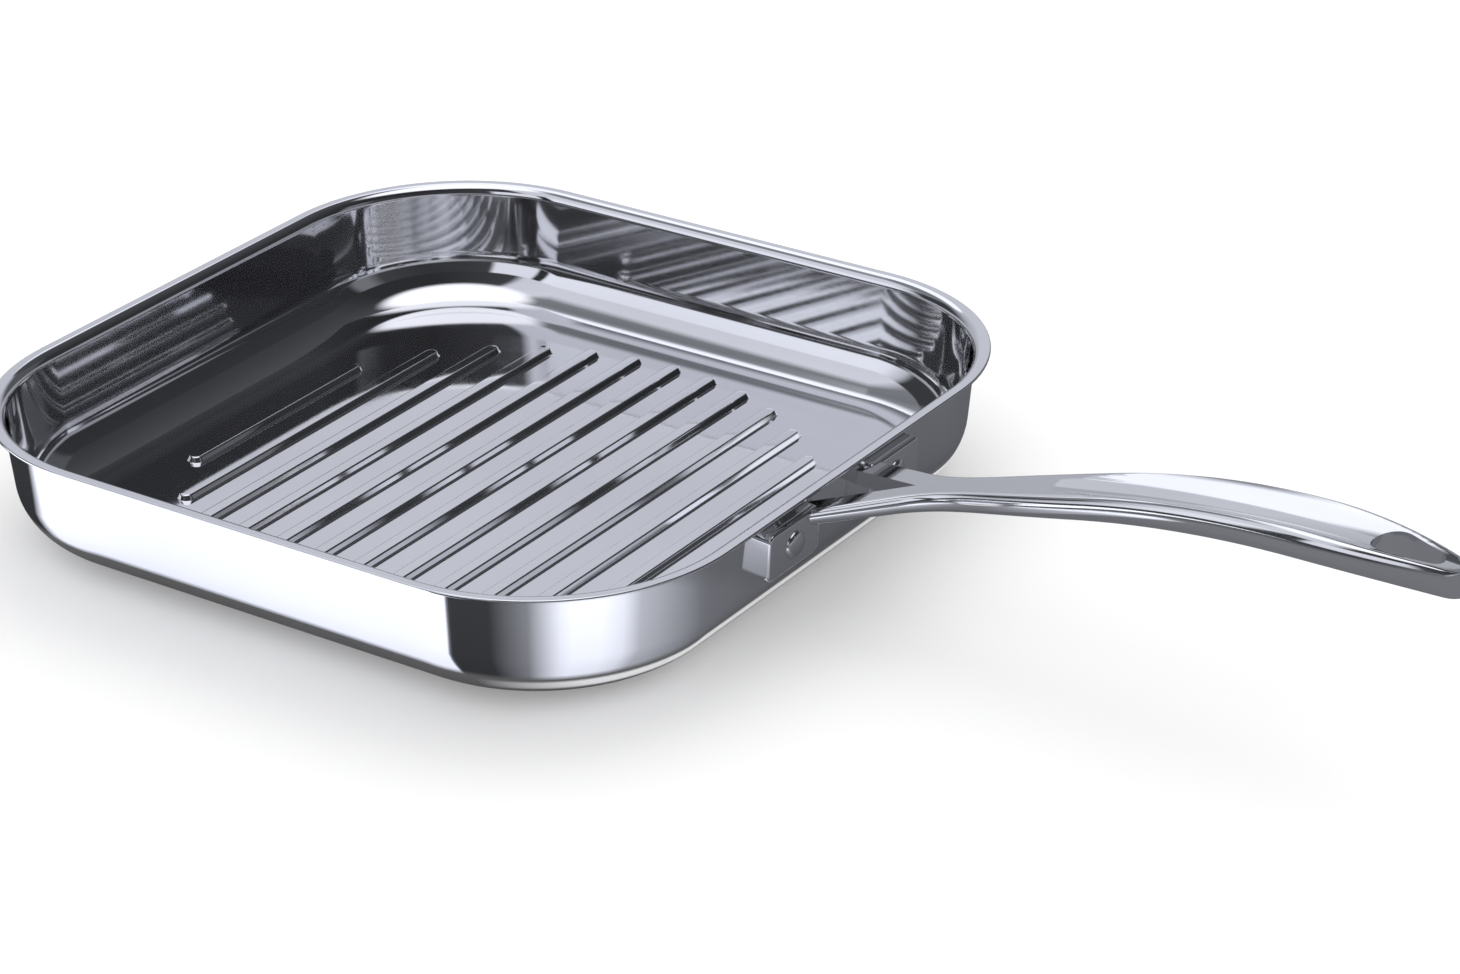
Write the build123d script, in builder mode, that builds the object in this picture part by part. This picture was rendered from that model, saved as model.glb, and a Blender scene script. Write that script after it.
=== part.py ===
from build123d import *
import math
import os

os.makedirs("parts", exist_ok=True)

# All lengths in millimetres. The origin is the centre of the underside, on the surface that the pan
# stands on. +X runs along the handle, +Y along the ribs and +Z up.

# Bowl: one pressed sheet, square with round corners, its walls leaning out a little
rim_half = 130.0
rim_height = 43.2
rim_corner_radius = 65.5
rim_overhang = 5.0
sheet = 1.0
wall_lean = 3.0
floor_turn_radius = 18.0
throat_bevel = 2.4

# Base under the floor: a tray of magnetic steel around an aluminium core
core_thickness = 3.0
cap_sheet = 0.5
base_inset = 1.5
base_edge_bevel = 0.4

# Ribs embossed in the floor. Their ends lie on a circle that stays clear of the floor turn, and the first
# and the last rib lie a little inside it
rib_count = 13
rib_width = 6.4
rib_height = 2.5
rib_field_margin = 4.0
rib_side_margin = 10.0
rib_draft = 25.0
rib_hollow_inset = 0.7

# Handle feet and the rivets that hold them
foot_spacing = 56.0
foot_width = 27.0
foot_height = 15.5
foot_thickness = 5.0
foot_rim_gap = 5.45
foot_corner_radius = 2.5
rivet_radius = 2.5
rivet_clearance = 0.05
rivet_head_radius = 4.6
rivet_head_height = 1.9
rivet_tail_radius = 5.0
rivet_tail_height = 1.5

# Legs and grip from above. A reach is measured from the wall, just under the rim
leg_outer_half = 23.5
leg_inner_half = 13.0
crotch_reach = 28.0
crotch_radius = 2.0
neck_reach = 58.0
neck_half_width = 8.5
grip_widest_reach = 155.0
grip_half_width = 13.2
shoulder_radius = 132.0
tip_radius = 6.4

# Legs and grip from the side. The crest rises over the rim a little beyond the widest place, and the legs
# start at the wall, above the middle of the feet
grip_crest_lead = 1.0
grip_crest_rise = 25.7
grip_thickness = 8.6
grip_top_radius = 261.0
grip_underside_radius = 300.0
leg_top_rise = 5.6
leg_underside_rise = 0.9
lower_edge_bevel = 2.0

# Dish in the top of the grip, and the drop-shaped hanging hole at its end
dish_radius = 22.0
dish_depth = 3.0
dish_middle_setback = 20.0
dish_half_length = 66.0
dish_lead_setback = 35.0
dish_turn = 30.0
hole_wide_radius = 7.0
hole_narrow_radius = 4.2
hole_length = 21.5
hole_end_margin = 6.7

# How far a cutting body runs past the surface that it cuts, and how upright the normal of a face is that
# counts as looking down
overrun = 10.0
level_share = 0.8

# Levels and half sizes that follow
floor_underside = core_thickness + cap_sheet
floor_top = floor_underside + sheet
wall_half = rim_half - rim_overhang
wall_corner_radius = rim_corner_radius - rim_overhang
wall_rise = rim_height - floor_underside
wall_tilt = math.atan2(wall_lean, wall_rise)
foot_level = rim_height - foot_rim_gap - foot_height / 2


def wall_half_at(level):
    """Half the outside width of the bowl at this level, if the wall ran down straight."""
    return wall_half - wall_lean * (rim_height - level) / wall_rise


rib_field_radius = wall_half_at(floor_underside) - floor_turn_radius - rib_field_margin
rib_pitch = 2 * (rib_field_radius - rib_side_margin) / (rib_count - 1)


def bowl(inset, underside):
    """A solid as large as the outside of the bowl, drawn in by inset on every side."""
    with BuildPart() as solid:
        with BuildSketch(Plane.XY.offset(rim_height)):
            RectangleRounded(2 * (wall_half - inset), 2 * (wall_half - inset), wall_corner_radius - inset)
        extrude(amount=underside - rim_height, taper=math.degrees(wall_tilt))
        fillet(solid.faces().sort_by(Axis.Z)[0].edges(), floor_turn_radius - inset)
    return solid.part


def base_plate(inset, underside):
    """A square plate with round corners that reaches up to the floor of the bowl."""
    drawn_in = floor_turn_radius + base_inset + inset
    width = 2 * (wall_half_at(floor_underside) - drawn_in)
    with BuildPart() as solid:
        with BuildSketch(Plane.XY.offset(underside)):
            RectangleRounded(width, width, wall_corner_radius - wall_lean - drawn_in)
        extrude(amount=floor_underside - underside)
    return solid.part


def rib_half_length(place):
    """Half the length of the rib at this place: the rib ends lie on a circle."""
    return math.sqrt(rib_field_radius**2 - place**2)


def level_faces(part, level):
    """The flat faces of a part at this level."""
    return part.faces().filter_by_position(Axis.Z, level, level)


bowl_outside = bowl(0, floor_underside)
bowl_inside = bowl(sheet, floor_top)
rib_places = [(i - (rib_count - 1) / 2) * rib_pitch for i in range(rib_count)]

# The plane of the wall's outside behind the handle: its x runs along the wall and its y up the wall
wall_plane = Plane(
    origin=(wall_half_at(foot_level), 0, foot_level),
    x_dir=(0, 1, 0),
    z_dir=(math.cos(wall_tilt), 0, -math.sin(wall_tilt)),
)
wall_thickness = sheet * math.cos(wall_tilt)
foot_places = [(-foot_spacing / 2, 0), (foot_spacing / 2, 0)]

# Pan body
with BuildPart() as pan_body:
    add(bowl_outside)
    with BuildSketch(Plane.XY.offset(rim_height - sheet)):
        RectangleRounded(2 * rim_half, 2 * rim_half, rim_corner_radius)
    extrude(amount=sheet)
    chamfer(level_faces(pan_body, rim_height - sheet)[0].inner_wires()[0].edges(), throat_bevel)
    add(bowl_inside, mode=Mode.SUBTRACT)
    chamfer(level_faces(pan_body, rim_height)[0].inner_wires()[0].edges(), throat_bevel)

    # Each rib is a raised bead, and hollow below as pressing leaves it
    for place in rib_places:
        with BuildSketch(Plane.XY.offset(floor_top)):
            with Locations((place, 0)):
                SlotOverall(2 * rib_half_length(place), rib_width, rotation=90)
        extrude(amount=rib_height, taper=rib_draft)
    for place in rib_places:
        with BuildSketch(Plane.XY.offset(floor_underside)):
            with Locations((place, 0)):
                Rectangle(rib_width - 2 * rib_hollow_inset, 2 * (rib_half_length(place) - rib_width))
        extrude(amount=rib_height, taper=rib_draft, mode=Mode.SUBTRACT)

    # Holes for the rivets
    with BuildSketch(wall_plane):
        with Locations(foot_places):
            Circle(rivet_radius + rivet_clearance)
    extrude(amount=overrun, both=True, mode=Mode.SUBTRACT)
pan_body.part.label = "pan_body"
export_step(pan_body.part, "parts/pan_body.step")

# Base core: it fills the cap and is bonded to the floor
with BuildPart() as base_core:
    add(base_plate(cap_sheet, cap_sheet))
base_core.part.label = "base_core"
export_step(base_core.part, "parts/base_core.step")

# Base cap: a shallow tray whose edge turns up to the floor of the bowl
with BuildPart() as base_cap:
    add(base_plate(0, 0))
    chamfer(level_faces(base_cap, 0).edges(), base_edge_bevel)
    add(base_core.part, mode=Mode.SUBTRACT)
base_cap.part.label = "base_cap"
export_step(base_cap.part, "parts/base_cap.step")

# Handle: one casting. Its places along X follow from the reaches
widest_x = wall_half + grip_widest_reach
crest_x = widest_x + grip_crest_lead
crest_level = rim_height + grip_crest_rise
crest_underside_level = crest_level - grip_thickness
root_x = wall_half_at(foot_level) - sheet
crotch_x = wall_half + crotch_reach
shoulder_turn = math.degrees(math.acos((shoulder_radius - grip_half_width) / (shoulder_radius - tip_radius)))
shoulder_run = (shoulder_radius - tip_radius) * math.sin(math.radians(shoulder_turn))
tip_x = widest_x + shoulder_run + tip_radius
hole_narrow_x = tip_x - hole_end_margin - hole_narrow_radius
hole_wide_x = tip_x - hole_end_margin - hole_length + hole_wide_radius


def arched(arc_top, radius, root_level):
    """Four points of a side line: its start at the wall, where the arc begins, the arc's top and its end."""
    centre_level = arc_top - radius
    run = crest_x - root_x
    drop = centre_level - root_level
    slope = math.asin(radius / math.hypot(run, drop)) + math.atan2(drop, run)
    end_x = tip_x + overrun
    return (
        (root_x, root_level),
        (crest_x - radius * math.sin(slope), centre_level + radius * math.cos(slope)),
        (crest_x, arc_top),
        (end_x, centre_level + math.sqrt(radius**2 - (end_x - crest_x) ** 2)),
    )


top_points = arched(crest_level, grip_top_radius, foot_level + leg_top_rise)
underside_points = arched(crest_underside_level, grip_underside_radius, foot_level + leg_underside_rise)

# The dish is what a ball would wear away as it runs along the neck and then over an arch flatter than the grip
dish_middle_angle = math.asin((dish_middle_setback + grip_crest_lead) / grip_top_radius)
dish_up = Vector(-math.sin(dish_middle_angle), 0, math.cos(dish_middle_angle))
dish_path_radius = 1 / (1 / grip_top_radius - 2 * dish_depth / dish_half_length**2)
dish_pivot_rise = grip_top_radius - dish_depth - dish_path_radius
dish_pivot = Vector(crest_x, 0, crest_level - grip_top_radius) + dish_up * dish_pivot_rise
dish_lead_x = widest_x - dish_middle_setback - dish_lead_setback
lead_angle = math.asin((dish_pivot.X - dish_lead_x) / dish_path_radius)
lead_along = Vector(math.cos(lead_angle), 0, math.sin(lead_angle))
lead_up = Vector(-math.sin(lead_angle), 0, math.cos(lead_angle))
lead_point = dish_pivot + lead_up * (dish_path_radius + dish_radius)
with BuildPart() as dish:
    with BuildSketch(Plane(origin=lead_point, x_dir=(0, 1, 0), z_dir=lead_along)):
        Circle(dish_radius)
    revolve(axis=Axis(dish_pivot, (0, 1, 0)), revolution_arc=dish_turn)
    with BuildSketch(Plane(origin=lead_point, x_dir=(0, 1, 0), z_dir=-lead_along)):
        Circle(dish_radius)
    extrude(amount=grip_widest_reach)

with BuildPart() as handle:
    # Outline from above: two legs that run together into the neck, then the grip
    with BuildSketch(Plane.XY):
        with BuildLine():
            leg_side = Line((root_x, leg_outer_half), (crotch_x, neck_half_width + crotch_radius))
            waist = Spline(
                leg_side @ 1,
                (wall_half + neck_reach, neck_half_width),
                (widest_x, grip_half_width),
                tangents=(leg_side % 1, (1, 0)),
            )
            shoulder = JernArc(waist @ 1, (1, 0), shoulder_radius, -shoulder_turn)
            JernArc(shoulder @ 1, shoulder % 1, tip_radius, shoulder_turn - 90)
            mirror(about=Plane.XZ)
            Line((root_x, leg_outer_half), (root_x, -leg_outer_half))
        make_face()
        with BuildLine():
            Polyline((root_x, leg_inner_half), (crotch_x, 0), (root_x, -leg_inner_half), close=True)
        make_face(mode=Mode.SUBTRACT)
    extrude(amount=crest_level + overrun)

    # Outline from the side: straight legs and neck, then an arched grip
    with BuildSketch(Plane.XZ):
        with BuildLine():
            Line(top_points[0], top_points[1])
            ThreePointArc(*top_points[1:])
            Line(underside_points[0], underside_points[1])
            ThreePointArc(*underside_points[1:])
            Line(top_points[0], underside_points[0])
            Line(top_points[-1], underside_points[-1])
        make_face()
    extrude(amount=leg_outer_half + overrun, both=True, mode=Mode.INTERSECT)

    # Round crotch, and the lower edges taken off
    fillet(handle.edges().filter_by(Axis.Z).sort_by_distance((crotch_x, 0, foot_level))[0], crotch_radius)
    under_faces = handle.faces().filter_by(lambda face: face.normal_at().Z < -level_share)
    chamfer(under_faces.edges().filter_by(Axis.Y, reverse=True), lower_edge_bevel)

    # Dish, and the hanging hole in the end of it
    add(dish.part, mode=Mode.SUBTRACT)
    with BuildSketch(Plane.XY):
        with Locations((hole_wide_x, 0)):
            Circle(hole_wide_radius)
        with Locations((hole_narrow_x, 0)):
            Circle(hole_narrow_radius)
        make_hull()
    extrude(amount=crest_level + overrun, mode=Mode.SUBTRACT)

    # The legs end on the wall, in two flat feet
    with BuildSketch(wall_plane):
        Rectangle(foot_spacing + foot_width, 2 * foot_spacing)
    extrude(amount=-overrun, mode=Mode.SUBTRACT)
    with BuildSketch(wall_plane):
        with Locations(foot_places):
            RectangleRounded(foot_width, foot_height, foot_corner_radius)
    extrude(amount=foot_thickness)
    with BuildSketch(wall_plane):
        with Locations(foot_places):
            Circle(rivet_radius + rivet_clearance)
    extrude(amount=overrun, mode=Mode.SUBTRACT)
handle.part.label = "handle"
export_step(handle.part, "parts/handle.step")

# Rivets: a shank through foot and wall, with a head outside and a formed tail inside
for rivet_name, place in zip(["rivet_near", "rivet_far"], foot_places):
    rivet_origin = wall_plane.from_local_coords(Vector(*place))
    with BuildPart() as rivet:
        with BuildSketch(Plane(origin=rivet_origin, x_dir=wall_plane.z_dir, z_dir=wall_plane.x_dir)):
            with BuildLine():
                Polyline(
                    (-wall_thickness - rivet_tail_height, 0),
                    (-wall_thickness - rivet_tail_height, rivet_tail_radius),
                    (-wall_thickness, rivet_tail_radius),
                    (-wall_thickness, rivet_radius),
                    (foot_thickness, rivet_radius),
                    (foot_thickness, rivet_head_radius),
                    (foot_thickness + rivet_head_height, rivet_head_radius),
                    (foot_thickness + rivet_head_height, 0),
                    close=True,
                )
            make_face()
        revolve(axis=Axis(rivet_origin, wall_plane.z_dir))
    rivet.part.label = rivet_name
    export_step(rivet.part, "parts/" + rivet_name + ".step")
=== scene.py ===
import bpy
import math
from mathutils import Matrix, Vector


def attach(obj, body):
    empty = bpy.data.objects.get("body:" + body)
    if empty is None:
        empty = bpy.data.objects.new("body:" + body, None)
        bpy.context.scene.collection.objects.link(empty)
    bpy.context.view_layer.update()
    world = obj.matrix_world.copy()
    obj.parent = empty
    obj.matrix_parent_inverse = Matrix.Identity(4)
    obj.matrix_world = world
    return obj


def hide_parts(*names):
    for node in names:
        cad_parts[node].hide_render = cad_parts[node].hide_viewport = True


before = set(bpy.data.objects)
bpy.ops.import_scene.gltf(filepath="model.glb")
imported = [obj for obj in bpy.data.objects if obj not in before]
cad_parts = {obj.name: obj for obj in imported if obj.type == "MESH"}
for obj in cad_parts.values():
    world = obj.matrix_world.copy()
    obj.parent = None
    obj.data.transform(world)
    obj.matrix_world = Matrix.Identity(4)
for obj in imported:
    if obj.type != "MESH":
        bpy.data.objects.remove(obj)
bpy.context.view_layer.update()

mm = 0.001  # sizes below are in millimetres and Blender works in metres
close = 0.001 * mm  # points nearer than this count as one
print("frame loaded")


# helpers for drawing a mesh in edit mode

def editMode():
    bpy.ops.object.mode_set(mode='EDIT')


def leaveEdit():
    bpy.ops.object.mode_set(mode='OBJECT')


def clearSelection():
    if bpy.context.object and bpy.context.object.mode != 'OBJECT':
        leaveEdit()
    bpy.ops.object.select_all(action='DESELECT')


def useOnly(*pieces):  # selects these pieces, the first one active
    clearSelection()
    for piece in pieces:
        piece.select_set(True)
    bpy.context.view_layer.objects.active = pieces[0]


def editOnly(piece):
    useOnly(piece)
    editMode()


def selectAll():
    bpy.ops.mesh.select_all(action='SELECT')


def drawChain(name, points):  # a new mesh of edges through these points, left in edit mode
    clearSelection()
    bpy.ops.mesh.primitive_plane_add(size=1 * mm, location=(0, 0, 0))
    piece = bpy.context.object
    piece.name = name
    editMode()
    bpy.ops.mesh.select_mode(type='VERT')
    bpy.ops.mesh.merge(type='CENTER')  # the plane becomes the first point
    bpy.ops.transform.translate(value=points[0])
    for last, point in zip(points, points[1:]):
        step = Vector(point) - Vector(last)
        bpy.ops.mesh.extrude_vertices_move(TRANSFORM_OT_translate={"value": step})
    return piece


def startPick(kind):  # clears the selection in edit mode and gives the mesh, to be marked in object mode
    bpy.ops.mesh.select_mode(type=kind)
    bpy.ops.mesh.select_all(action='DESELECT')
    leaveEdit()
    return bpy.context.object.data


def pickVerts(test):
    mesh = startPick('VERT')
    for vert in mesh.vertices:
        vert.select = test(vert.co)
    editMode()


def pickEdges(test):  # the test is given both ends
    mesh = startPick('EDGE')
    for edge in mesh.edges:
        start, end = (mesh.vertices[i].co for i in edge.vertices)
        edge.select = test(start, end)
    editMode()


def same(a, b):
    return abs(a - b) < close


def arcPoints(centre, radius, startAngle, endAngle, steps):  # in a flat (across, up) plane, in degrees
    points = []
    for i in range(steps + 1):
        angle = math.radians(startAngle + (endAngle - startAngle) * i / steps)
        points.append((centre[0] + radius * math.cos(angle), centre[1] + radius * math.sin(angle)))
    return points


# helpers for whole pieces

def cleanMesh(piece):
    editOnly(piece)
    selectAll()
    bpy.ops.mesh.remove_doubles(threshold=close)
    bpy.ops.mesh.normals_make_consistent(inside=False)
    leaveEdit()


def applyModifiers(piece):
    useOnly(piece)
    for modifier in list(piece.modifiers):
        bpy.ops.object.modifier_apply(modifier=modifier.name)


def mirrorPiece(piece, x=False, y=False):
    useOnly(piece)
    modifier = piece.modifiers.new("mirror", 'MIRROR')
    modifier.use_axis = (x, y, False)
    modifier.use_clip = True
    modifier.merge_threshold = 2 * close
    applyModifiers(piece)


def joinPieces(*pieces):  # into the first one
    useOnly(*pieces)
    bpy.ops.object.join()
    return pieces[0]


def combine(piece, tool, operation):  # the tool is used up
    modifier = piece.modifiers.new("combine", 'BOOLEAN')
    modifier.operation = operation
    modifier.solver = 'EXACT'
    modifier.object = tool
    applyModifiers(piece)
    bpy.data.objects.remove(tool)


def smoothMetal(piece, sharpAngle):  # the normals follow the larger faces, as sheet metal needs
    useOnly(piece)
    bpy.ops.object.shade_smooth_by_angle(angle=math.radians(sharpAngle))
    modifier = piece.modifiers.new("weighted", 'WEIGHTED_NORMAL')
    modifier.mode = 'FACE_AREA'
    modifier.weight = 80
    modifier.keep_sharp = True
    applyModifiers(piece)


def dress(piece, material, node):  # shows the piece in place of the node
    piece.data.materials.clear()
    piece.data.materials.append(material)
    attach(piece, "root")
    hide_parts(node)


def sizeOf(piece):
    return [round(value, 4) for value in piece.dimensions]


# metals: a soft haze tints the colour, and fine polishing lines vary the gloss and the surface

polish = {"hazeDetail": 4, "hazeDark": 0.35, "hazeLight": 0.65, "lineDetail": 6, "lineDepth": 0.02}


def addNode(tree, kind, **values):
    node = tree.nodes.new(kind)
    for key, value in values.items():
        setattr(node, key, value)
    return node


def noiseOf(tree, place, scale, detail):
    noise = addNode(tree, 'ShaderNodeTexNoise')
    noise.inputs['Scale'].default_value = scale
    noise.inputs['Detail'].default_value = detail
    tree.links.new(place, noise.inputs['Vector'])
    return noise.outputs['Fac']


def steelMaterial(name, look):
    material = bpy.data.materials.new(name)
    material.use_nodes = True
    tree = material.node_tree
    tree.nodes.clear()
    out = addNode(tree, 'ShaderNodeOutputMaterial')
    shader = addNode(tree, 'ShaderNodeBsdfPrincipled')
    shader.inputs['Metallic'].default_value = 1.0
    tree.links.new(shader.outputs[0], out.inputs[0])
    place = addNode(tree, 'ShaderNodeTexCoord').outputs['Object']

    haze = noiseOf(tree, place, look["hazeScale"], polish["hazeDetail"])
    tint = addNode(tree, 'ShaderNodeValToRGB')
    dark, light = tint.color_ramp.elements
    dark.position = polish["hazeDark"]
    dark.color = (*look["darkTint"], 1)
    light.position = polish["hazeLight"]
    light.color = (*look["lightTint"], 1)
    tree.links.new(haze, tint.inputs['Fac'])
    tree.links.new(tint.outputs[0], shader.inputs['Base Color'])

    stretch = addNode(tree, 'ShaderNodeMapping')
    stretch.inputs['Scale'].default_value = look["lineStretch"]
    tree.links.new(place, stretch.inputs['Vector'])
    lines = noiseOf(tree, stretch.outputs[0], look["lineScale"], polish["lineDetail"])
    gloss = addNode(tree, 'ShaderNodeMapRange')
    gloss.inputs['To Min'].default_value = look["roughLow"]
    gloss.inputs['To Max'].default_value = look["roughHigh"]
    tree.links.new(lines, gloss.inputs['Value'])
    tree.links.new(gloss.outputs[0], shader.inputs['Roughness'])
    bump = addNode(tree, 'ShaderNodeBump')
    bump.inputs['Strength'].default_value = look["bump"]
    bump.inputs['Distance'].default_value = polish["lineDepth"] * mm
    tree.links.new(lines, bump.inputs['Height'])
    tree.links.new(bump.outputs[0], shader.inputs['Normal'])
    return material


panPolish = steelMaterial("pan steel", {
    "hazeScale": 9.0, "darkTint": (0.74, 0.74, 0.76), "lightTint": (0.80, 0.80, 0.82),
    "lineStretch": (1.0, 1.0, 6.0), "lineScale": 240.0, "roughLow": 0.03, "roughHigh": 0.09, "bump": 0.02,
})
handlePolish = steelMaterial("handle steel", {
    "hazeScale": 12.0, "darkTint": (0.74, 0.74, 0.75), "lightTint": (0.80, 0.80, 0.81),
    "lineStretch": (1.0, 8.0, 8.0), "lineScale": 200.0, "roughLow": 0.05, "roughHigh": 0.12, "bump": 0.08,
})
rivetPolish = steelMaterial("rivet steel", {
    "hazeScale": 60.0, "darkTint": (0.66, 0.66, 0.67), "lightTint": (0.74, 0.74, 0.75),
    "lineStretch": (1.0, 1.0, 1.0), "lineScale": 500.0, "roughLow": 0.10, "roughHigh": 0.20, "bump": 0.05,
})
capBrush = steelMaterial("cap steel", {
    "hazeScale": 20.0, "darkTint": (0.58, 0.58, 0.59), "lightTint": (0.68, 0.68, 0.69),
    "lineStretch": (1.0, 30.0, 1.0), "lineScale": 120.0, "roughLow": 0.22, "roughHigh": 0.38, "bump": 0.2,
})
coreCast = steelMaterial("core aluminium", {
    "hazeScale": 30.0, "darkTint": (0.66, 0.66, 0.67), "lightTint": (0.74, 0.74, 0.75),
    "lineStretch": (1.0, 1.0, 1.0), "lineScale": 300.0, "roughLow": 0.30, "roughHigh": 0.45, "bump": 0.3,
})
print("materials made")


# pan body: a section of wall and rim is spun round a corner, carried on and mirrored, and ribs are fused on

bowl = {
    "rimHalf": 130.0, "rimHeight": 43.2, "cornerCentre": 64.5, "overhang": 5.0, "sheet": 1.0,
    "lean": 3.0, "underside": 3.5, "turn": 18.0, "throat": 2.6, "edge": 0.42, "cornerSteps": 28,
    "turnSteps": 14, "outerThroatSteps": 6, "innerThroatSteps": 8, "edgeSteps": 4, "sharpAngle": 40,
}
floorTop = bowl["underside"] + bowl["sheet"]
wallTilt = math.atan2(bowl["lean"], bowl["rimHeight"] - bowl["underside"])


def wallHalf(level):  # from the middle of the pan to the outside of the straight wall
    rise = bowl["rimHeight"] - bowl["underside"]
    return bowl["rimHalf"] - bowl["overhang"] - bowl["lean"] * (bowl["rimHeight"] - level) / rise


def wallSide(inset, floorLevel, rimLevel, throat, throatSteps):
    # one face of the sheet: from the floor up round the turn, up the wall and out into the rim
    tilt = math.degrees(wallTilt)
    slant = 1 / math.cos(wallTilt)
    slope = math.tan(wallTilt)
    turn = bowl["turn"] - inset
    turnCentre = (wallHalf(floorLevel) - inset - turn * (slant - slope), floorLevel + turn)
    throatCentre = (wallHalf(rimLevel) - inset + throat * (slant + slope), rimLevel - throat)
    run = arcPoints(turnCentre, turn, -90, -tilt, bowl["turnSteps"])
    return run + arcPoints(throatCentre, throat, 180 - tilt, 90, throatSteps)


def wallSection():  # up the outside of the sheet, round the rim's edge and down the inside
    half, top, sheet, edge = (bowl[name] for name in ("rimHalf", "rimHeight", "sheet", "edge"))
    outside = wallSide(0, bowl["underside"], top - sheet, bowl["throat"], bowl["outerThroatSteps"])
    rimLow = arcPoints((half - edge, top - sheet + edge), edge, -90, 0, bowl["edgeSteps"])
    rimHigh = arcPoints((half - edge, top - edge), edge, 0, 90, bowl["edgeSteps"])
    inside = wallSide(sheet, floorTop, top, bowl["throat"] + sheet, bowl["innerThroatSteps"])
    return outside + rimLow + rimHigh + inside[::-1]


def drawPan():
    centre = bowl["cornerCentre"] * mm
    piece = drawChain("pan", [(across * mm, centre, up * mm) for across, up in wallSection()])
    selectAll()
    bpy.ops.mesh.spin(
        steps=bowl["cornerSteps"], angle=math.radians(-90), center=(centre, centre, 0), axis=(0, 0, 1))
    for axis in (1, 0):  # both open ends of the corner
        pickVerts(lambda place: same(place[axis], centre))
        bpy.ops.mesh.select_mode(type='EDGE')
        slide = [0, 0, 0]
        slide[axis] = -centre
        bpy.ops.mesh.extrude_region_move(TRANSFORM_OT_translate={"value": slide})
    leaveEdit()
    mirrorPiece(piece, x=True, y=True)
    cleanMesh(piece)
    print("corner spun:", len(piece.data.vertices), "verts", sizeOf(piece))
    return piece


def closeFloor(piece):  # one face below and one above
    for level in (bowl["underside"] * mm, floorTop * mm):
        editOnly(piece)
        pickEdges(lambda a, b: same(a.z, level) and same(b.z, level))
        bpy.ops.mesh.edge_face_add()
        leaveEdit()
    cleanMesh(piece)


rib = {
    "count": 13, "pitch": 15.0, "height": 1.8, "topHalf": 1.6, "crown": 0.7, "foot": 0.5, "lean": 25.0,
    "sunk": 0.5, "fieldRadius": 100.0, "endRadius": 3.2, "firstHalf": 50.0, "bite": 0.02,
    "crownSteps": 6, "footSteps": 5, "endSteps": 16,
}


def ribSection():  # half of it, from the middle of the top out and down; levels count from floorTop
    lean = math.radians(rib["lean"])
    crownCentre = (rib["topHalf"], rib["height"] - rib["crown"])
    crown = arcPoints(crownCentre, rib["crown"], 90, rib["lean"], rib["crownSteps"])
    drop = crown[-1][1] - rib["foot"] * (1 - math.sin(lean))
    across = crown[-1][0] + drop * math.tan(lean) + rib["foot"] * math.cos(lean)
    baseCentre = (across, rib["foot"] - rib["bite"])
    base = arcPoints(baseCentre, rib["foot"], 180 + rib["lean"], 270, rib["footSteps"])
    return [(0, rib["height"])] + crown + base + [(across, -rib["sunk"])]


def drawRib():  # a round end is spun, drawn out to the middle, mirrored and closed below
    half = rib["firstHalf"] * mm
    piece = drawChain("rib", [(across * mm, half, (floorTop + up) * mm) for across, up in ribSection()])
    selectAll()
    bpy.ops.mesh.spin(steps=rib["endSteps"], angle=math.radians(-180), center=(0, half, 0), axis=(0, 0, 1))
    selectAll()
    bpy.ops.mesh.remove_doubles(threshold=close)
    pickVerts(lambda place: same(place.y, half))
    bpy.ops.mesh.select_mode(type='EDGE')
    bpy.ops.mesh.extrude_region_move(TRANSFORM_OT_translate={"value": (0, -half, 0)})
    leaveEdit()
    mirrorPiece(piece, y=True)
    editOnly(piece)
    low = (floorTop - rib["sunk"]) * mm
    pickEdges(lambda a, b: same(a.z, low) and same(b.z, low))
    bpy.ops.mesh.edge_face_add()
    leaveEdit()
    cleanMesh(piece)
    return piece


def drawRibs():  # copies of one rib, each drawn out to the round edge of the ribbed field
    first = drawRib()
    ribs = []
    for i in range(rib["count"]):
        place = (i - (rib["count"] - 1) / 2) * rib["pitch"]
        half = math.sqrt(rib["fieldRadius"] ** 2 - place ** 2) - rib["endRadius"]
        useOnly(first)
        bpy.ops.object.duplicate()
        one = bpy.context.object
        one.name = "rib" + str(i + 1)
        editMode()
        for side in (1, -1):
            pickVerts(lambda point: point.y * side > rib["firstHalf"] / 2 * mm)
            bpy.ops.transform.translate(value=(0, side * (half - rib["firstHalf"]) * mm, 0))
        selectAll()
        bpy.ops.transform.translate(value=(place * mm, 0, 0))
        leaveEdit()
        ribs.append(one)
    bpy.data.objects.remove(first)
    return joinPieces(*ribs)


pan = drawPan()
closeFloor(pan)
combine(pan, drawRibs(), 'UNION')
cleanMesh(pan)
smoothMetal(pan, bowl["sharpAngle"])
dress(pan, panPolish, "pan_body")
print("pan body done:", len(pan.data.polygons), "faces")


# handle: half of its section is carried from the tip to the crotch and on along one leg, then mirrored

grip = {
    "root": 123.0, "crotch": 153.0, "legOuter": 23.5, "legInner": 13.0, "crotchHalf": 10.5,
    "neck": 183.0, "neckHalf": 8.5, "widest": 280.0, "half": 13.2, "shoulder": 132.0, "tip": 6.4,
    "crest": 281.0, "crestLevel": 68.9, "thick": 8.6, "topRadius": 261.0, "underRadius": 300.0,
    "topSlope": 15.1, "underSlope": 13.5, "oval": 2.6, "crotchRadius": 4.6, "sharpAngle": 24,
    "topShares": (0, 0.3, 0.6, 0.85), "sideSteps": 18, "gripSteps": 52, "crotchSteps": 5,
    "tipAngles": (7, 14, 22, 30, 39, 48, 57, 65), "legPlaces": (153.0, 147.0, 141.0, 135.0, 130.0, 124.3),
}
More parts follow.
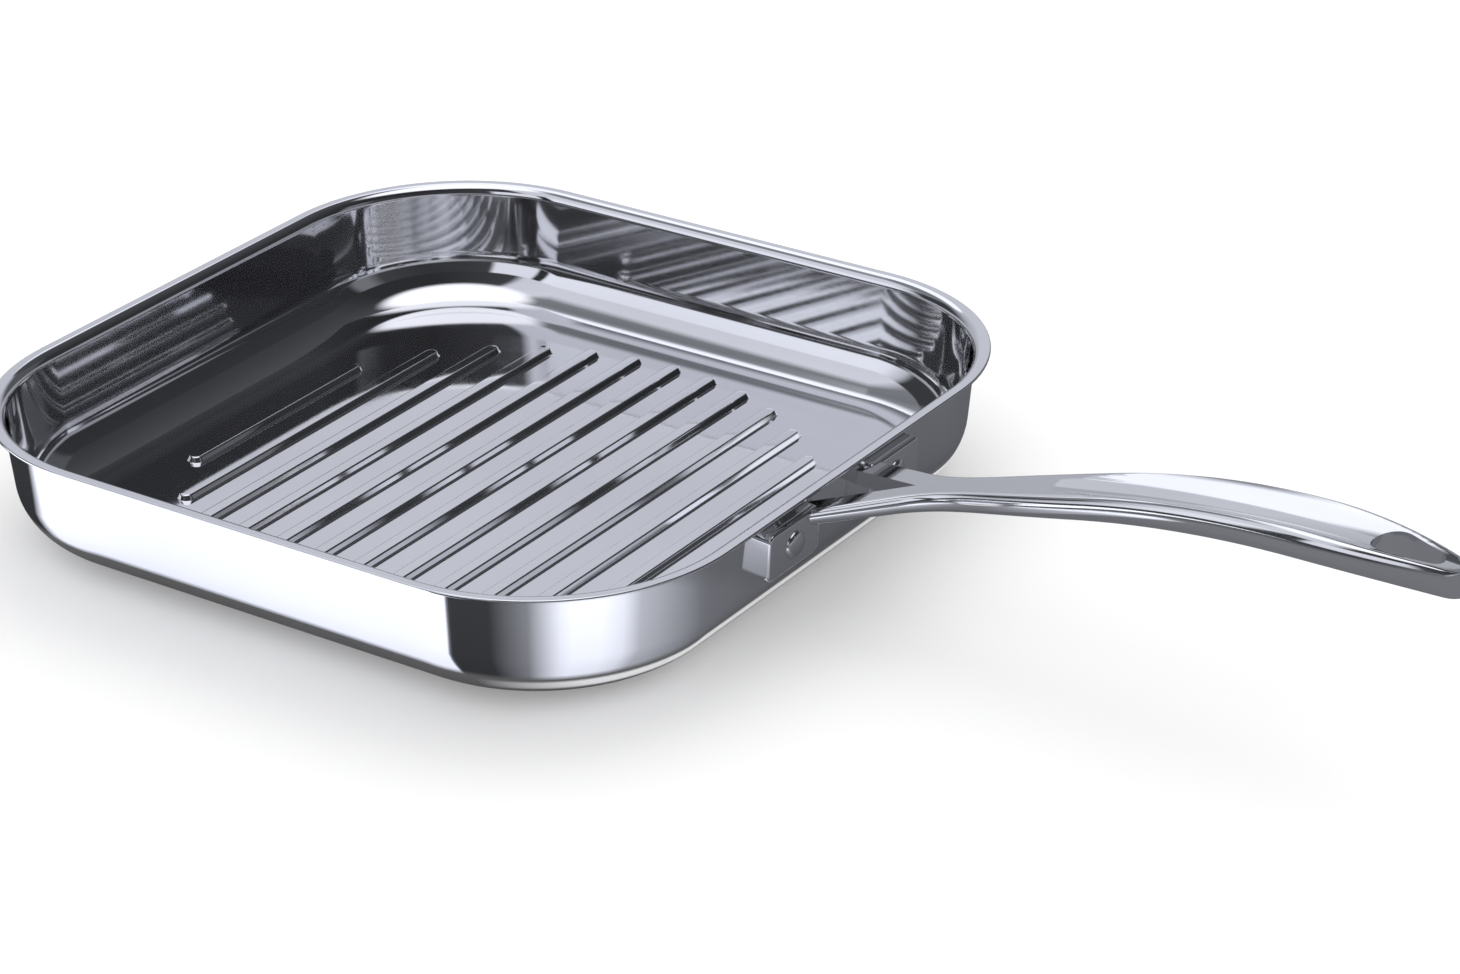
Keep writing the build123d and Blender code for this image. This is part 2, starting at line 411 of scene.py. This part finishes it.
# seen from above, a shoulder arc on each side narrows the grip and meets the arc round its tip
joinTurn = math.acos((grip["shoulder"] - grip["half"]) / (grip["shoulder"] - grip["tip"]))
tipCentre = grip["widest"] + (grip["shoulder"] - grip["tip"]) * math.sin(joinTurn)
tipEnd = tipCentre + grip["tip"]
shoulderEnd = grip["widest"] + grip["shoulder"] * math.sin(joinTurn)
# the slope of the outline at the neck, where the curves on both sides of it have to bend alike
legSlope = (grip["crotchHalf"] - grip["legOuter"]) / (grip["crotch"] - grip["root"])
forkLength = grip["neck"] - grip["crotch"]
gripLength = grip["widest"] - grip["neck"]
widening = 6 * (grip["half"] - grip["neckHalf"]) / gripLength ** 2
narrowing = 6 * (grip["crotchHalf"] - grip["neckHalf"]) / forkLength ** 2
neckSlope = (widening - narrowing - 2 * legSlope / forkLength) / (4 / forkLength + 4 / gripLength)


def archAt(x, radius, crestLevel, slope):  # an arc over the crest that runs down into a straight line
    away = math.radians(slope)
    tangent = grip["crest"] - radius * math.sin(away)
    if x >= tangent:
        return crestLevel - radius + math.sqrt(radius ** 2 - (x - grip["crest"]) ** 2)
    return crestLevel - radius + radius * math.cos(away) - (tangent - x) * math.tan(away)


def topAt(x):
    return archAt(x, grip["topRadius"], grip["crestLevel"], grip["topSlope"])


def underAt(x):
    return archAt(x, grip["underRadius"], grip["crestLevel"] - grip["thick"], grip["underSlope"])


def cubicAt(x, start, end):  # a smooth curve between two ends, each (x, half width, slope)
    startX, startHalf, startSlope = start
    endX, endHalf, endSlope = end
    length = endX - startX
    t = (x - startX) / length
    return ((2 * t ** 3 - 3 * t ** 2 + 1) * startHalf + (t ** 3 - 2 * t ** 2 + t) * length * startSlope
            + (3 * t ** 2 - 2 * t ** 3) * endHalf + (t ** 3 - t ** 2) * length * endSlope)


def halfAt(x):  # half of the width between the crotch and the tip
    if x > shoulderEnd:
        return math.sqrt(max(grip["tip"] ** 2 - (x - tipCentre) ** 2, 0))
    if x > grip["widest"]:
        return grip["half"] - grip["shoulder"] + math.sqrt(grip["shoulder"] ** 2 - (x - grip["widest"]) ** 2)
    neck = (grip["neck"], grip["neckHalf"], neckSlope)
    if x > grip["neck"]:
        return cubicAt(x, neck, (grip["widest"], grip["half"], 0))
    return cubicAt(x, (grip["crotch"], grip["crotchHalf"], legSlope), neck)


def handleSection():  # half of the widest one, from the middle of its top round the half-oval side
    half, thick, oval = grip["half"], grip["thick"], grip["oval"]
    flat = half - oval
    run = [(flat * share, 0) for share in grip["topShares"]]
    for across, up in arcPoints((0, 0), 1, 90, -90, grip["sideSteps"]):
        run.append((flat + oval * across, (up - 1) * thick / 2))
    return run + [(flat / 2, -thick), (0, -thick)]


def neckStation(x):  # (x, inner y, outer y, low z, high z)
    return (x, 0, halfAt(x), underAt(x), topAt(x))


def legStation(x):
    share = (grip["crotch"] - x) / (grip["crotch"] - grip["root"])
    inner = grip["legInner"] * share
    outer = grip["crotchHalf"] + (grip["legOuter"] - grip["crotchHalf"]) * share
    return (x, inner, outer, underAt(x), topAt(x))


def carryOn(station, places):  # draws the selected edges on from place to place, at the sizes of the stations
    for now, after in zip(places, places[1:]):
        x, inner, outer, low, high = station(now)
        nextX, nextInner, nextOuter, nextLow, nextHigh = station(after)
        bpy.ops.mesh.extrude_region_move()
        bpy.ops.transform.resize(
            value=(1, (nextOuter - nextInner) / (outer - inner), (nextHigh - nextLow) / (high - low)),
            center_override=(x * mm, inner * mm, low * mm))
        bpy.ops.transform.translate(value=((nextX - x) * mm, (nextInner - inner) * mm, (nextLow - low) * mm))


def atCrotch(point):
    return same(point.x, grip["crotch"] * mm)


def drawHandle():
    toCrotch = grip["crotch"] - shoulderEnd
    places = [tipCentre + grip["tip"] * math.cos(math.radians(angle)) for angle in grip["tipAngles"]]
    places += [shoulderEnd + toCrotch * i / grip["gripSteps"] for i in range(grip["gripSteps"] + 1)]
    firstX = places[0]
    firstHalf, firstTop, firstThick = halfAt(firstX), topAt(firstX), topAt(firstX) - underAt(firstX)
    piece = drawChain("handle", [
        (firstX * mm, y * firstHalf / grip["half"] * mm, (firstTop + z * firstThick / grip["thick"]) * mm)
        for y, z in handleSection()
    ])
    print("handle section drawn")
    bpy.ops.mesh.select_mode(type='EDGE')
    selectAll()
    carryOn(neckStation, places)
    pickVerts(lambda point: atCrotch(point) and same(point.y, 0))
    bpy.ops.mesh.edge_face_add()  # one edge closes the half section at the crotch
    pickEdges(lambda a, b: atCrotch(a) and atCrotch(b))
    carryOn(legStation, grip["legPlaces"])
    bpy.ops.mesh.edge_face_add()
    leaveEdit()
    mirrorPiece(piece, y=True)
    editOnly(piece)
    pickEdges(lambda a, b: same(a.x, firstX * mm) and same(b.x, firstX * mm))
    bpy.ops.mesh.edge_face_add()
    pickEdges(lambda a, b: atCrotch(a) and atCrotch(b) and same(a.y, 0) and same(b.y, 0))
    bpy.ops.mesh.bevel(offset=grip["crotchRadius"] * mm, segments=grip["crotchSteps"], affect='EDGES')
    leaveEdit()
    cleanMesh(piece)
    print("handle drawn:", len(piece.data.polygons), "faces", sizeOf(piece))
    return piece


# the dish in the grip, worn away by a ball that runs up the neck and then over a flatter arch
dish = {
    "radius": 22.0, "depth": 3.0, "middle": 260.0, "halfLength": 66.0, "lead": 225.0, "leadLength": 90.0,
    "swing": 22.0, "swingSteps": 56, "around": 192,
}


def drawDishCutter():
    # the lowest point of the ball is depth below the top at the middle, and level with it at halfLength
    tilt = math.asin((grip["crest"] - dish["middle"]) / grip["topRadius"])
    pathRadius = 1 / (1 / grip["topRadius"] - 2 * dish["depth"] / dish["halfLength"] ** 2)
    reach = grip["topRadius"] - dish["depth"] - pathRadius
    pivotX = grip["crest"] - reach * math.sin(tilt)
    pivotZ = grip["crestLevel"] - grip["topRadius"] + reach * math.cos(tilt)
    leadTurn = math.asin((pivotX - dish["lead"]) / pathRadius)
    sweep = pathRadius + dish["radius"]
    leadX, leadZ = pivotX - sweep * math.sin(leadTurn), pivotZ + sweep * math.cos(leadTurn)
    clearSelection()
    bpy.ops.mesh.primitive_circle_add(
        vertices=dish["around"], radius=dish["radius"] * mm, location=(leadX * mm, 0, leadZ * mm),
        rotation=(0, math.pi / 2 - leadTurn, 0))
    cutter = bpy.context.object
    bpy.ops.object.transform_apply(location=True, rotation=True, scale=True)
    editMode()
    bpy.ops.mesh.select_mode(type='EDGE')
    selectAll()
    bpy.ops.mesh.spin(
        steps=dish["swingSteps"], angle=math.radians(-dish["swing"]), center=(pivotX * mm, 0, pivotZ * mm),
        axis=(0, 1, 0))
    bpy.ops.mesh.edge_face_add()
    lead = Vector((leadX * mm, 0, leadZ * mm))
    forward = Vector((math.cos(leadTurn), 0, math.sin(leadTurn)))
    pickEdges(lambda a, b: same((a - lead).dot(forward), 0) and same((b - lead).dot(forward), 0))
    bpy.ops.mesh.extrude_region_move(TRANSFORM_OT_translate={"value": forward * (-dish["leadLength"] * mm)})
    bpy.ops.mesh.edge_face_add()
    leaveEdit()
    cleanMesh(cutter)
    cutter.name = "dishCutter"
    print("dish cutter", sizeOf(cutter), round(leadX, 2), round(leadZ, 2))
    return cutter


# the hanging hole, drop-shaped: two circles and the straight sides that touch both
hole = {
    "wide": 7.0, "wideSteps": 64, "narrow": 4.2, "narrowSteps": 48, "length": 21.5, "margin": 6.7,
    "cutterLow": 40.0, "cutterHeight": 50.0, "straightAngle": 0.5,
}


def drawHoleCutter():
    narrowX = tipEnd - hole["margin"] - hole["narrow"]
    wideX = tipEnd - hole["margin"] - hole["length"] + hole["wide"]
    low = hole["cutterLow"] * mm
    clearSelection()
    bpy.ops.mesh.primitive_circle_add(
        vertices=hole["wideSteps"], radius=hole["wide"] * mm, location=(wideX * mm, 0, low))
    cutter = bpy.context.object
    cutter.name = "holeCutter"
    bpy.ops.object.transform_apply(location=True, rotation=True, scale=True)
    editMode()
    bpy.ops.mesh.primitive_circle_add(
        vertices=hole["narrowSteps"], radius=hole["narrow"] * mm, location=(narrowX * mm, 0, low))
    selectAll()
    bpy.ops.mesh.convex_hull()
    selectAll()
    bpy.ops.mesh.dissolve_limited(angle_limit=math.radians(hole["straightAngle"]))
    selectAll()
    bpy.ops.mesh.extrude_region_move(TRANSFORM_OT_translate={"value": (0, 0, hole["cutterHeight"] * mm)})
    leaveEdit()
    cleanMesh(cutter)
    return cutter


# the feet: two rounded blocks that lie on the wall
foot = {
    "spacing": 56.0, "width": 27.0, "height": 15.5, "thick": 5.0, "level": 30.0, "corner": 2.5,
    "cornerSteps": 6, "edge": 0.9, "edgeSteps": 4,
}


def footSpot(side):  # the middle of a foot on the wall's outside; the far side is 1 and the near side -1
    return Vector((wallHalf(foot["level"]) * mm, side * foot["spacing"] / 2 * mm, foot["level"] * mm))


def drawFoot(side):
    clearSelection()
    bpy.ops.mesh.primitive_cube_add(size=1)
    block = bpy.context.object
    block.scale = (foot["thick"] * mm, foot["width"] * mm, foot["height"] * mm)
    bpy.ops.object.transform_apply(location=False, rotation=False, scale=True)
    editMode()
    pickEdges(lambda a, b: not same(a.x, b.x))  # the four corners
    bpy.ops.mesh.bevel(offset=foot["corner"] * mm, segments=foot["cornerSteps"], affect='EDGES')
    front = foot["thick"] / 2 * mm
    pickEdges(lambda a, b: same(a.x, front) and same(b.x, front))
    bpy.ops.mesh.bevel(offset=foot["edge"] * mm, segments=foot["edgeSteps"], affect='EDGES')
    leaveEdit()
    wallNormal = Vector((math.cos(wallTilt), 0, -math.sin(wallTilt)))
    block.rotation_euler = (0, wallTilt, 0)
    block.location = footSpot(side) + wallNormal * foot["thick"] / 2 * mm
    bpy.ops.object.transform_apply(location=True, rotation=True, scale=True)
    return block


handle = drawHandle()
dishCutter = drawDishCutter()
holeCutter = drawHoleCutter()
combine(handle, dishCutter, 'DIFFERENCE')
combine(handle, holeCutter, 'DIFFERENCE')
print("handle cut:", len(handle.data.polygons), "faces")
joinPieces(handle, drawFoot(1), drawFoot(-1))
smoothMetal(handle, grip["sharpAngle"])
dress(handle, handlePolish, "handle")
print("handle done:", len(handle.data.polygons), "faces")


# rivets: domed heads outside the feet and formed tails inside the wall

rivet = {
    "radius": 2.5, "headRadius": 4.6, "headHeight": 1.9, "tailRadius": 5.0, "tailHeight": 1.5,
    "around": 48, "domeSteps": 10, "sharpAngle": 35,
}


def domeRun(base, radius, height):  # from the rim of a flattened dome to its top
    dome = arcPoints((0, 0), 1, 0, 90, rivet["domeSteps"])
    return [(radius * across, base + height * up) for across, up in dome]


def rivetSection():  # from the top of the head to the end of the tail
    wallThick = bowl["sheet"] * math.cos(wallTilt)
    head = domeRun(foot["thick"], rivet["headRadius"], rivet["headHeight"])
    shank = [(rivet["radius"], foot["thick"]), (rivet["radius"], -wallThick)]
    return head[::-1] + shank + domeRun(-wallThick, rivet["tailRadius"], -rivet["tailHeight"])


for nodeName, side in (("rivet_near", -1), ("rivet_far", 1)):
    points = [(across * mm, 0, up * mm) for across, up in rivetSection()]
    pin = drawChain(nodeName.replace("rivet_", "rivet"), points)
    selectAll()
    bpy.ops.mesh.spin(steps=rivet["around"], angle=math.radians(360), center=(0, 0, 0), axis=(0, 0, 1))
    leaveEdit()
    cleanMesh(pin)
    pin.rotation_euler = (0, math.pi / 2 + wallTilt, 0)
    pin.location = footSpot(side)
    bpy.ops.object.transform_apply(location=True, rotation=True, scale=True)
    smoothMetal(pin, rivet["sharpAngle"])
    dress(pin, rivetPolish, nodeName)
print("rivets done")


# base: the cap and the core keep their CAD shapes

for nodeName, material in (("base_cap", capBrush), ("base_core", coreCast)):
    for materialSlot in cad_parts[nodeName].material_slots:
        materialSlot.material = material


# studio: what polished metal mirrors, as greys by the bearing in degrees, and what lights all the rest

studio = {
    "floorSize": 12000.0, "floorGrey": 0.80, "floorGlow": 0.20, "paintedReflectionGlow": 0.5, "tint": (0.95, 0.98, 1.08),
    # painted light and shade on the table, seen only in mirrors, by the bearing round the point (turnX,
    # turnY): closer to it than near, and beyond far
    "turnX": 82.5, "turnY": -92.5, "near": 92.0, "far": 104.0,
    "paintedShadeNear": (
        (-180, 0.03), (-172.5, 0.03), (-170.5, 1.0), (-111, 1.0), (-109.5, 0.035), (-85, 0.035),
        (-62, 0.2), (-42, 0.8), (-35, 0.9), (-18, 0.88), (-6, 0.74), (4, 0.42), (20, 0.31), (40, 0.17),
        (60, 0.14), (100, 0.07), (180, 0.03)),
    "paintedShadeFar": (
        (-180, 0.03), (-172.5, 0.03), (-170.5, 1.0), (-111, 1.0), (-109.5, 0.05), (-60, 0.14), (12, 0.14),
        (60, 0.12), (100, 0.07), (112, 0.35), (148, 0.35), (156, 0.03), (180, 0.03)),
    # painted rings on the table round the pan, seen only in mirrors, each over the one before: painted shadow
    # under the pan, a band of painted light round its foot and a thin line of painted shadow just outside;
    # the light band shows on the +X side only
    "paintedShadowGrey": 0.12, "paintedLightGrey": 0.85, "paintedLightFrom": 75.0, "paintedLightFull": 105.0,
    "outerPaintedShadow": (58.0, 62.5), "paintedLightBand": (54.5, 57.0), "innerPaintedShadow": (47.0, 50.0),  # where each one fades
    # the studio itself: near the horizon, over that, high up and overhead, with the levels between them
    "horizon": (
        (-180, 0.5), (-145, 0.4), (-135, 0.05), (-90, 0.06), (-60, 0.3), (-40, 0.5), (20, 0.35), (62, 0.3),
        (105, 0.45), (160, 0.5), (180, 0.5)),
    "walls": (
        (-180, 0.05), (-150, 0.05), (-143, 0.6), (-130, 0.95), (-118.5, 1.0), (-117, 0.03), (-111, 0.03),
        (-109, 0.9), (-80, 0.9), (-76, 0.06), (-62, 0.05), (-31, 0.04), (0, 0.06), (10, 0.2), (20, 0.2),
        (26, 0.03), (57, 0.04), (62, 0.1), (98, 0.12), (108, 0.5), (118, 0.68), (135, 0.68), (160, 0.5),
        (180, 0.05)),
    "upper": (
        (-180, 0.22), (-160, 0.25), (-145, 0.8), (-106, 0.75), (-98, 0.06), (-35, 0.03), (25, 0.03),
        (114, 0.09), (121, 1.25), (158, 1.25), (168, 0.3), (180, 0.22)),
    "zenith": (1.3, 1.32, 1.4, 1),
    "levels": ((0.16, 0.2), (0.55, 0.575), (0.86, 0.93)),
}


def grey(value):
    return (value, value, value, 1)


def fade(tree, value, low, high, **values):  # 0 up to the low value, 1 from the high one on
    node = addNode(tree, 'ShaderNodeMapRange', **values)
    node.inputs['From Min'].default_value = low
    node.inputs['From Max'].default_value = high
    tree.links.new(value, node.inputs['Value'])
    return node.outputs[0]


def blend(tree, factor, a, b):  # a where the factor is 0, b where it is 1
    mix = addNode(tree, 'ShaderNodeMix', data_type='RGBA')
    tree.links.new(factor, mix.inputs['Factor'])
    for socket, value in ((mix.inputs['A'], a), (mix.inputs['B'], b)):
        if isinstance(value, tuple):
            socket.default_value = value
        else:
            tree.links.new(value, socket)
    return mix.outputs['Result']


def splitVector(tree, vector):
    parts = addNode(tree, 'ShaderNodeSeparateXYZ')
    tree.links.new(vector, parts.inputs[0])
    return parts.outputs


def bearingOf(tree, parts):  # the angle of X and Y as a share of the full turn
    bearing = addNode(tree, 'ShaderNodeMath', operation='ARCTAN2')
    tree.links.new(parts['Y'], bearing.inputs[0])
    tree.links.new(parts['X'], bearing.inputs[1])
    return fade(tree, bearing.outputs[0], -math.pi, math.pi)


def greyRamp(tree, bearing, stops):  # stops are (angle, grey)
    ramp = addNode(tree, 'ShaderNodeValToRGB')
    elements = ramp.color_ramp.elements
    elements.remove(elements[1])
    for i, (angle, shade) in enumerate(stops):
        spot = (angle + 180) / 360
        element = elements[0] if i == 0 else elements.new(spot)
        element.position = spot
        element.color = (*(shade * share for share in studio["tint"]), 1)
    tree.links.new(bearing, ramp.inputs['Fac'])
    return ramp.outputs[0]


def distanceRound(tree, place):  # how far a point lies outside the square round the pan's middle
    half = bowl["cornerCentre"] * mm
    link = place
    for operation, value in (('ABSOLUTE', 0), ('SUBTRACT', half), ('MAXIMUM', 0), ('LENGTH', 0)):
        step = addNode(tree, 'ShaderNodeVectorMath', operation=operation)
        tree.links.new(link, step.inputs[0])
        if operation in ('SUBTRACT', 'MAXIMUM'):
            step.inputs[1].default_value = (value, value, value)
        link = step.outputs['Value' if operation == 'LENGTH' else 'Vector']
    return link


# painted light and shade on the table, seen only in mirrors: greys by the bearing round one point, then
# painted rings round the pan
def paintedTableShade(tree, place):  # what mirrors see of the table
    around = addNode(tree, 'ShaderNodeVectorMath', operation='SUBTRACT')
    around.inputs[1].default_value = (studio["turnX"] * mm, studio["turnY"] * mm, 0)
    tree.links.new(place, around.inputs[0])
    bearing = bearingOf(tree, splitVector(tree, around.outputs[0]))
    distance = addNode(tree, 'ShaderNodeVectorMath', operation='LENGTH')
    tree.links.new(around.outputs[0], distance.inputs[0])
    away = fade(tree, distance.outputs['Value'], studio["near"] * mm, studio["far"] * mm)
    near = greyRamp(tree, bearing, studio["paintedShadeNear"])
    colour = blend(tree, away, near, greyRamp(tree, bearing, studio["paintedShadeFar"]))

    # the painted rings: painted shadow under the pan, painted light round its foot on the +X side, painted
    # shadow just outside
    outside = distanceRound(tree, place)
    alongX = splitVector(tree, place)['X']
    dark = grey(studio["paintedShadowGrey"])
    showing = fade(tree, alongX, studio["paintedLightFrom"] * mm, studio["paintedLightFull"] * mm)
    paintedLightBand = blend(tree, showing, dark, grey(studio["paintedLightGrey"]))
    for shade, name in ((dark, "outerPaintedShadow"), (paintedLightBand, "paintedLightBand"), (dark, "innerPaintedShadow")):
        low, high = studio[name]
        colour = blend(tree, fade(tree, outside, low * mm, high * mm), shade, colour)
    return colour


def stageFloor():
    clearSelection()
    bpy.ops.mesh.primitive_plane_add(size=studio["floorSize"] * mm, location=(0, 0, 0))
    floor = bpy.context.object
    floor.name = "studioFloor"
    material = bpy.data.materials.new("studio floor")
    material.use_nodes = True
    tree = material.node_tree
    tree.nodes.clear()
    out = addNode(tree, 'ShaderNodeOutputMaterial')
    paintedTable = paintedTableShade(tree, addNode(tree, 'ShaderNodeTexCoord').outputs['Object'])
    # mirrors see the painted light and shade of the table on the floor, glowing as painted light; all other
    # rays see the plain pale floor
    mirrored = addNode(tree, 'ShaderNodeLightPath').outputs['Is Glossy Ray']
    paintedGlow = addNode(tree, 'ShaderNodeVectorMath', operation='SCALE')
    paintedGlow.inputs['Scale'].default_value = studio["paintedReflectionGlow"]
    tree.links.new(paintedTable, paintedGlow.inputs[0])
    paper = addNode(tree, 'ShaderNodeBsdfDiffuse')
    tree.links.new(blend(tree, mirrored, grey(studio["floorGrey"]), paintedTable), paper.inputs['Color'])
    glow = addNode(tree, 'ShaderNodeEmission')
    tree.links.new(blend(tree, mirrored, grey(studio["floorGlow"]), paintedGlow.outputs[0]), glow.inputs['Color'])
    both = addNode(tree, 'ShaderNodeAddShader')
    tree.links.new(paper.outputs[0], both.inputs[0])
    tree.links.new(glow.outputs[0], both.inputs[1])
    tree.links.new(both.outputs[0], out.inputs[0])
    floor.data.materials.append(material)


def stageWorld():
    world = bpy.data.worlds.new("studio")
    bpy.context.scene.world = world
    world.use_nodes = True
    tree = world.node_tree
    tree.nodes.clear()
    out = addNode(tree, 'ShaderNodeOutputWorld')
    air = addNode(tree, 'ShaderNodeBackground')
    tree.links.new(air.outputs[0], out.inputs[0])
    direction = splitVector(tree, addNode(tree, 'ShaderNodeTexCoord').outputs['Generated'])
    bearing = bearingOf(tree, direction)
    looks = [greyRamp(tree, bearing, studio[name]) for name in ("horizon", "walls", "upper")]
    looks.append(studio["zenith"])
    seen = looks[0]
    for (low, high), above in zip(studio["levels"], looks[1:]):
        rise = fade(tree, direction['Z'], low, high, interpolation_type='SMOOTHSTEP')
        seen = blend(tree, rise, seen, above)
    mirrored = addNode(tree, 'ShaderNodeLightPath').outputs['Is Glossy Ray']
    tree.links.new(blend(tree, mirrored, grey(1), seen), air.inputs['Color'])


lamp = {"place": (-300.0, 900.0, 1300.0), "size": 1600.0, "watts": 6.0}


def stageLamp():  # a soft disk that faces the pan and that mirrors don't see
    place = Vector([value * mm for value in lamp["place"]])
    clearSelection()
    bpy.ops.object.light_add(type='AREA', location=place)
    light = bpy.context.object
    light.name = "back lamp"
    light.data.shape = 'DISK'
    light.data.size = lamp["size"] * mm
    light.data.energy = lamp["watts"]
    light.rotation_euler = place.to_track_quat('Z', 'Y').to_euler()
    light.visible_glossy = False


# the camera that took the photo, as fitted to it; angles in degrees
view = {
    "place": (728.27, -954.01, 594.79), "azimuth": 33.89, "elevation": 26.35, "roll": -0.49,
    "lens": 104.54, "sensor": 36.0, "reach": 50000.0,
}


def stageCamera():
    azimuth, elevation, roll = (math.radians(view[name]) for name in ("azimuth", "elevation", "roll"))
    flat = math.cos(elevation)
    back = Vector((math.sin(azimuth) * flat, -math.cos(azimuth) * flat, math.sin(elevation)))
    right = Vector((math.cos(azimuth), math.sin(azimuth), 0))
    up = back.cross(right)
    across = right * math.cos(roll) + up * math.sin(roll)
    above = up * math.cos(roll) - right * math.sin(roll)
    camera = bpy.data.objects.new("camera", bpy.data.cameras.new("camera"))
    bpy.context.scene.collection.objects.link(camera)
    camera.matrix_world = Matrix((
        (across.x, above.x, back.x, view["place"][0] * mm),
        (across.y, above.y, back.y, view["place"][1] * mm),
        (across.z, above.z, back.z, view["place"][2] * mm),
        (0, 0, 0, 1)))
    camera.data.sensor_width = view["sensor"]
    camera.data.lens = view["lens"]
    camera.data.clip_end = view["reach"] * mm
    bpy.context.scene.camera = camera


stageFloor()
stageWorld()
stageLamp()
stageCamera()
bpy.context.scene.view_settings.view_transform = 'Standard'
print("stage set")
